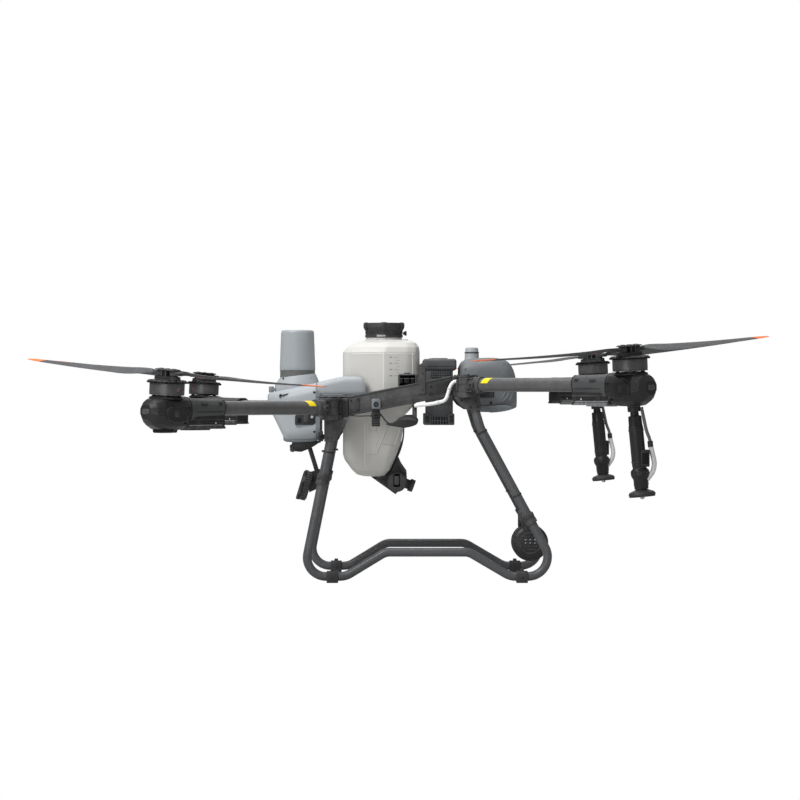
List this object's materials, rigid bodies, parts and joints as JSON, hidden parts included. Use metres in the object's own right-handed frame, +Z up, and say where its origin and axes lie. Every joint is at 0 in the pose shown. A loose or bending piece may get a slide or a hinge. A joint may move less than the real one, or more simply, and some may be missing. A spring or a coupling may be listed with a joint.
{
  "type": "agricultural spray drone",
  "caption": "Folding crop-spraying quadcopter with a lift-out liquid tank and battery, radars, skid landing gear and disc sprinklers under the rear motors.",
  "frame": {"origin": "on the ground under the middle of the four motors", "axes": "+Z up, nose towards -X, left side towards -Y"},
  "size_m": [2.2282, 2.348, 0.7895],
  "materials": {
    "carbon_tube": "satin carbon-fibre tube",
    "black_casting": "fine-textured black paint",
    "pod_shell": "moulded black plastic",
    "motor_metal": "wound stator, dull metal",
    "bell_metal": "dark anodised",
    "blade_composite": "matt carbon composite with orange tips",
    "grey_shell": "fine matt grey moulding",
    "tank_plastic": "translucent off-white blow moulding",
    "foot_rubber": "matt black rubber",
    "cap_plastic": "black moulding",
    "battery_case": "textured charcoal moulding",
    "sensor_window": "smoked gloss window"
  },
  "bodies": {
    "airframe": {"avionics_box": "black_casting", "foot_front_left": "foot_rubber", "foot_front_right": "foot_rubber", "foot_rear_left": "foot_rubber", "foot_rear_right": "foot_rubber", "front_cross_tube": "carbon_tube", "front_frame": "black_casting", "front_radar": "black_casting", "nose_camera": "sensor_window", "nose_cowl": "grey_shell", "radar_dome": "grey_shell", "rear_cowl": "grey_shell", "rear_cross_tube": "carbon_tube", "rear_frame": "black_casting", "rear_radar": "black_casting", "side_beam_left": "black_casting", "side_beam_right": "black_casting", "skid_left": "carbon_tube", "skid_right": "carbon_tube"},
    "arm_fl": {"arm_tube_fl": "carbon_tube", "arm_knuckle_fl": "black_casting", "motor_pod_fl": "pod_shell", "motor_stator_fl": "motor_metal"},
    "rotor_fl": {"motor_bell_fl": "bell_metal", "blade_clamp_fl": "black_casting"},
    "blade_fl_a": {"blade_fl_a": "blade_composite"},
    "blade_fl_b": {"blade_fl_b": "blade_composite"},
    "arm_fr": {"arm_tube_fr": "carbon_tube", "arm_knuckle_fr": "black_casting", "motor_pod_fr": "pod_shell", "motor_stator_fr": "motor_metal"},
    "rotor_fr": {"motor_bell_fr": "bell_metal", "blade_clamp_fr": "black_casting"},
    "blade_fr_a": {"blade_fr_a": "blade_composite"},
    "blade_fr_b": {"blade_fr_b": "blade_composite"},
    "arm_rl": {"arm_tube_rl": "carbon_tube", "arm_knuckle_rl": "black_casting", "motor_pod_rl": "pod_shell", "motor_stator_rl": "motor_metal", "sprinkler_body_left": "pod_shell"},
    "rotor_rl": {"motor_bell_rl": "bell_metal", "blade_clamp_rl": "black_casting"},
    "blade_rl_a": {"blade_rl_a": "blade_composite"},
    "blade_rl_b": {"blade_rl_b": "blade_composite"},
    "arm_rr": {"arm_tube_rr": "carbon_tube", "arm_knuckle_rr": "black_casting", "motor_pod_rr": "pod_shell", "motor_stator_rr": "motor_metal", "sprinkler_body_right": "pod_shell"},
    "rotor_rr": {"motor_bell_rr": "bell_metal", "blade_clamp_rr": "black_casting"},
    "blade_rr_a": {"blade_rr_a": "blade_composite"},
    "blade_rr_b": {"blade_rr_b": "blade_composite"},
    "spray_disc_left": {"sprinkler_disc_left": "cap_plastic"},
    "spray_disc_right": {"sprinkler_disc_right": "cap_plastic"},
    "tank": {"tank": "tank_plastic", "tank_sump": "black_casting"},
    "battery": {"battery": "battery_case"},
    "cap_ring": {"cap_ring": "cap_plastic"},
    "cap_lid": {"cap_lid": "cap_plastic"}
  },
  "joints": [
    {"name": "fold_fl", "type": "hinge", "parent": "airframe", "child": "arm_fl", "pos_m": [-0.204, -0.27, 0.526], "axis": [0, 0, 1], "range_deg": [0, 95]},
    {"name": "spin_fl", "type": "hinge", "parent": "arm_fl", "child": "rotor_fl", "pos_m": [-0.6575, -0.7025, 0.526], "axis": [0.0453, -0.0475, 0.9978], "continuous": true},
    {"name": "blade_fold_fl_a", "type": "hinge", "parent": "rotor_fl", "child": "blade_fl_a", "pos_m": [-0.63332, -0.72715, 0.62445], "axis": [-0.0453, 0.0475, -0.9978], "range_deg": [0, 79]},
    {"name": "blade_fold_fl_b", "type": "hinge", "parent": "rotor_fl", "child": "blade_fl_b", "pos_m": [-0.67258, -0.68739, 0.62812], "axis": [0.0453, -0.0475, 0.9978], "range_deg": [0, 79]},
    {"name": "fold_fr", "type": "hinge", "parent": "airframe", "child": "arm_fr", "pos_m": [-0.204, 0.27, 0.526], "axis": [0, 0, -1], "range_deg": [0, 95]},
    {"name": "spin_fr", "type": "hinge", "parent": "arm_fr", "child": "rotor_fr", "pos_m": [-0.6575, 0.7025, 0.526], "axis": [0.0453, 0.0475, 0.9978], "continuous": true},
    {"name": "blade_fold_fr_a", "type": "hinge", "parent": "rotor_fr", "child": "blade_fr_a", "pos_m": [-0.63332, 0.72715, 0.62445], "axis": [0.0453, 0.0475, 0.9978], "range_deg": [0, 79]},
    {"name": "blade_fold_fr_b", "type": "hinge", "parent": "rotor_fr", "child": "blade_fr_b", "pos_m": [-0.67258, 0.68739, 0.62812], "axis": [-0.0453, -0.0475, -0.9978], "range_deg": [0, 79]},
    {"name": "fold_rl", "type": "hinge", "parent": "airframe", "child": "arm_rl", "pos_m": [0.204, -0.27, 0.594], "axis": [0, 0, -1], "range_deg": [0, 95]},
    {"name": "spin_rl", "type": "hinge", "parent": "arm_rl", "child": "rotor_rl", "pos_m": [0.6575, -0.7025, 0.594], "axis": [-0.0453, -0.0475, 0.9978], "continuous": true},
    {"name": "blade_fold_rl_a", "type": "hinge", "parent": "rotor_rl", "child": "blade_rl_a", "pos_m": [0.63332, -0.72715, 0.69245], "axis": [-0.0453, -0.0475, 0.9978], "range_deg": [0, 79]},
    {"name": "blade_fold_rl_b", "type": "hinge", "parent": "rotor_rl", "child": "blade_rl_b", "pos_m": [0.67258, -0.68739, 0.69612], "axis": [0.0453, 0.0475, -0.9978], "range_deg": [0, 79]},
    {"name": "fold_rr", "type": "hinge", "parent": "airframe", "child": "arm_rr", "pos_m": [0.204, 0.27, 0.594], "axis": [0, 0, 1], "range_deg": [0, 95]},
    {"name": "spin_rr", "type": "hinge", "parent": "arm_rr", "child": "rotor_rr", "pos_m": [0.6575, 0.7025, 0.594], "axis": [-0.0453, 0.0475, 0.9978], "continuous": true},
    {"name": "blade_fold_rr_a", "type": "hinge", "parent": "rotor_rr", "child": "blade_rr_a", "pos_m": [0.63332, 0.72715, 0.69245], "axis": [0.0453, -0.0475, -0.9978], "range_deg": [0, 79]},
    {"name": "blade_fold_rr_b", "type": "hinge", "parent": "rotor_rr", "child": "blade_rr_b", "pos_m": [0.67258, 0.68739, 0.69612], "axis": [-0.0453, 0.0475, 0.9978], "range_deg": [0, 79]},
    {"name": "disc_spin_left", "type": "hinge", "parent": "arm_rl", "child": "spray_disc_left", "pos_m": [0.68939, -0.7025, 0.28557], "axis": [-0.0941, 0, 0.9956], "continuous": true},
    {"name": "disc_spin_right", "type": "hinge", "parent": "arm_rr", "child": "spray_disc_right", "pos_m": [0.68939, 0.7025, 0.28557], "axis": [-0.0941, 0, 0.9956], "continuous": true},
    {"name": "tank_lift", "type": "slide", "parent": "airframe", "child": "tank", "axis": [0, 0, 1], "range_m": [0, 0.45]},
    {"name": "battery_lift", "type": "slide", "parent": "airframe", "child": "battery", "axis": [0, 0, 1], "range_m": [0, 0.25]},
    {"name": "cap_ring_turn", "type": "hinge", "parent": "tank", "child": "cap_ring", "pos_m": [-0.045, 0, 0.765], "axis": [0, 0, 1], "range_deg": [0, 60]},
    {"name": "cap_lid_lift", "type": "slide", "parent": "tank", "child": "cap_lid", "axis": [0, 0, 1], "range_m": [0, 0.06]}
  ],
  "couplings": [
    {"joint": "blade_fold_fl_a", "follows": "fold_fl", "ratio": 0.82},
    {"joint": "blade_fold_fl_b", "follows": "fold_fl", "ratio": 0.82},
    {"joint": "blade_fold_fr_a", "follows": "fold_fr", "ratio": 0.82},
    {"joint": "blade_fold_fr_b", "follows": "fold_fr", "ratio": 0.82},
    {"joint": "blade_fold_rl_a", "follows": "fold_rl", "ratio": 0.82},
    {"joint": "blade_fold_rl_b", "follows": "fold_rl", "ratio": 0.82},
    {"joint": "blade_fold_rr_a", "follows": "fold_rr", "ratio": 0.82},
    {"joint": "blade_fold_rr_b", "follows": "fold_rr", "ratio": 0.82}
  ]
}
